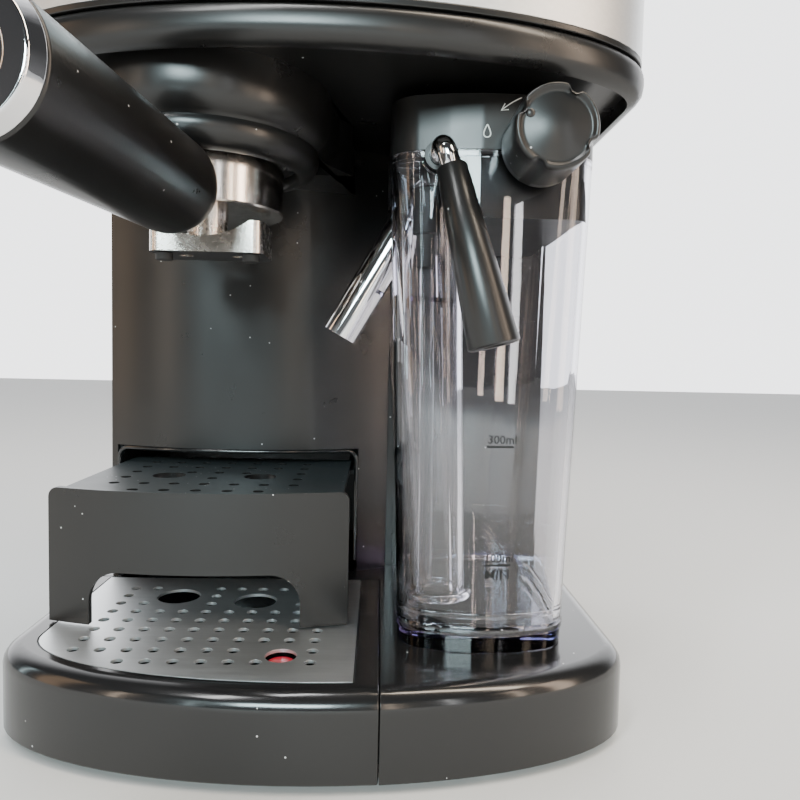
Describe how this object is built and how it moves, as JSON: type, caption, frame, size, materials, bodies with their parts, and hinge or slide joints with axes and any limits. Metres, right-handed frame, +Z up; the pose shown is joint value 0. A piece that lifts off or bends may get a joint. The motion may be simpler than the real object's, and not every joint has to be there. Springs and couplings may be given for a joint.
{
  "type": "espresso machine with milk frother",
  "caption": "Pump coffee machine with portafilter group, pull-out cup tray, drip tray with float, and plug-in milk frother with clear tank.",
  "frame": {"origin": "middle of the base's outline, on the underside of the base; the feet reach 3 mm below it", "axes": "+X to the right seen from the front, +Y to the back, +Z up"},
  "size_m": [0.23, 0.3003, 0.32],
  "materials": {
    "black_satin": "satin",
    "black_gloss": "gloss",
    "dark_inner": "matte",
    "steel_brushed": "brushed",
    "chrome": "polished",
    "cast_zinc": "polished",
    "aluminium": "cast",
    "rubber": "matte",
    "silicone_red": "matte",
    "float_red": "gloss",
    "clear_tank": "clear",
    "smoke_tank": "smoked",
    "tube_clear": "translucent",
    "hose_silicone": "translucent",
    "circuit": "satin",
    "screw_steel": "plated",
    "white_plastic": "satin",
    "copper": "matte"
  },
  "bodies": {
    "housing": {"base_pan": "dark_inner", "base_deck": "black_gloss", "feet": "rubber", "column_shell": "black_satin", "rear_cover": "black_satin", "cup_recess": "dark_inner", "tank_niche": "dark_inner", "group_shroud": "black_satin", "head_base": "black_satin", "head_shell": "black_satin", "fascia": "steel_brushed", "fascia_trim": "black_gloss", "top_cover": "black_satin", "button_bezel": "black_gloss", "button_boards": "circuit", "control_board": "circuit", "switch_bezel": "black_satin", "cord_inlet": "rubber", "steam_socket": "dark_inner", "pump": "aluminium", "pump_mounts": "rubber", "boiler": "aluminium", "boiler_element": "copper", "steam_valve": "dark_inner", "brew_hose": "hose_silicone", "steam_hose": "hose_silicone", "tank_hose": "hose_silicone", "group_head": "aluminium", "group_gasket": "silicone_red", "shower_screen": "chrome", "screen_screw": "screw_steel", "casing_screws": "screw_steel"},
    "drip_tray": {"drip_tray": "black_gloss", "drip_grid": "steel_brushed"},
    "float": {"drip_float": "float_red"},
    "cup_tray": {"cup_tray": "black_satin"},
    "portafilter": {"portafilter_bowl": "chrome", "filter_basket": "chrome", "basket_clip": "black_satin", "handle_rod": "chrome", "portafilter_handle": "black_satin", "handle_cap": "chrome", "spout_box": "cast_zinc", "spout_feet": "rubber"},
    "milk_unit": {"milk_tank": "clear_tank", "milk_lid": "black_satin", "suction_tube": "tube_clear", "tube_holder": "dark_inner"},
    "milk_lever": {"lever_elbow": "chrome", "lever_grip": "black_satin", "milk_spout": "chrome"},
    "froth_knob": {"froth_knob": "black_satin"},
    "water_tank": {"water_tank": "smoke_tank", "tank_valve": "white_plastic", "lid_pins": "screw_steel"},
    "tank_lid": {"tank_lid": "black_satin"},
    "button_left": {"button_left": "steel_brushed"},
    "button_middle": {"button_middle": "steel_brushed"},
    "button_right": {"button_right": "steel_brushed"},
    "power_switch": {"power_switch": "black_gloss"}
  },
  "joints": [
    {"name": "drip_tray_slide", "type": "slide", "parent": "housing", "child": "drip_tray", "axis": [0, -1, 0], "range_m": [0, 0.16]},
    {"name": "float_rise", "type": "slide", "parent": "drip_tray", "child": "float", "axis": [0, 0, 1], "range_m": [0, 0.006]},
    {"name": "cup_tray_slide", "type": "slide", "parent": "housing", "child": "cup_tray", "axis": [0, 1, 0], "range_m": [0, 0.062]},
    {"name": "portafilter_turn", "type": "hinge", "parent": "housing", "child": "portafilter", "pos_m": [-0.0455, -0.051, 0.2], "axis": [0, 0, 1], "range_deg": [-42, 4]},
    {"name": "milk_unit_slide", "type": "slide", "parent": "housing", "child": "milk_unit", "axis": [0, -1, 0], "range_m": [0, 0.13]},
    {"name": "milk_lever_swing", "type": "hinge", "parent": "milk_unit", "child": "milk_lever", "pos_m": [0.0405, -0.06, 0.2065], "axis": [0, 1, 0], "range_deg": [-4, 18]},
    {"name": "froth_knob_turn", "type": "hinge", "parent": "milk_unit", "child": "froth_knob", "pos_m": [0.0749, -0.09, 0.2094], "axis": [0, 1, 0], "range_deg": [-60, 120]},
    {"name": "water_tank_lift", "type": "slide", "parent": "housing", "child": "water_tank", "axis": [0, 0, 1], "range_m": [0, 0.15]},
    {"name": "tank_lid_hinge", "type": "hinge", "parent": "water_tank", "child": "tank_lid", "pos_m": [0, 0.1063, 0.3137], "axis": [-1, 0, 0], "range_deg": [0, 85]},
    {"name": "press_left", "type": "slide", "parent": "housing", "child": "button_left", "axis": [0, 1, 0], "range_m": [0, 0.0015], "stiffness_N_per_m": 600, "springref_m": -0.001},
    {"name": "press_middle", "type": "slide", "parent": "housing", "child": "button_middle", "axis": [0, 1, 0], "range_m": [0, 0.0015], "stiffness_N_per_m": 600, "springref_m": -0.001},
    {"name": "press_right", "type": "slide", "parent": "housing", "child": "button_right", "axis": [0, 1, 0], "range_m": [0, 0.0015], "stiffness_N_per_m": 600, "springref_m": -0.001},
    {"name": "power_rock", "type": "hinge", "parent": "housing", "child": "power_switch", "pos_m": [0.06, 0.107, 0.058], "axis": [1, 0, 0], "range_deg": [0, 8]}
  ]
}
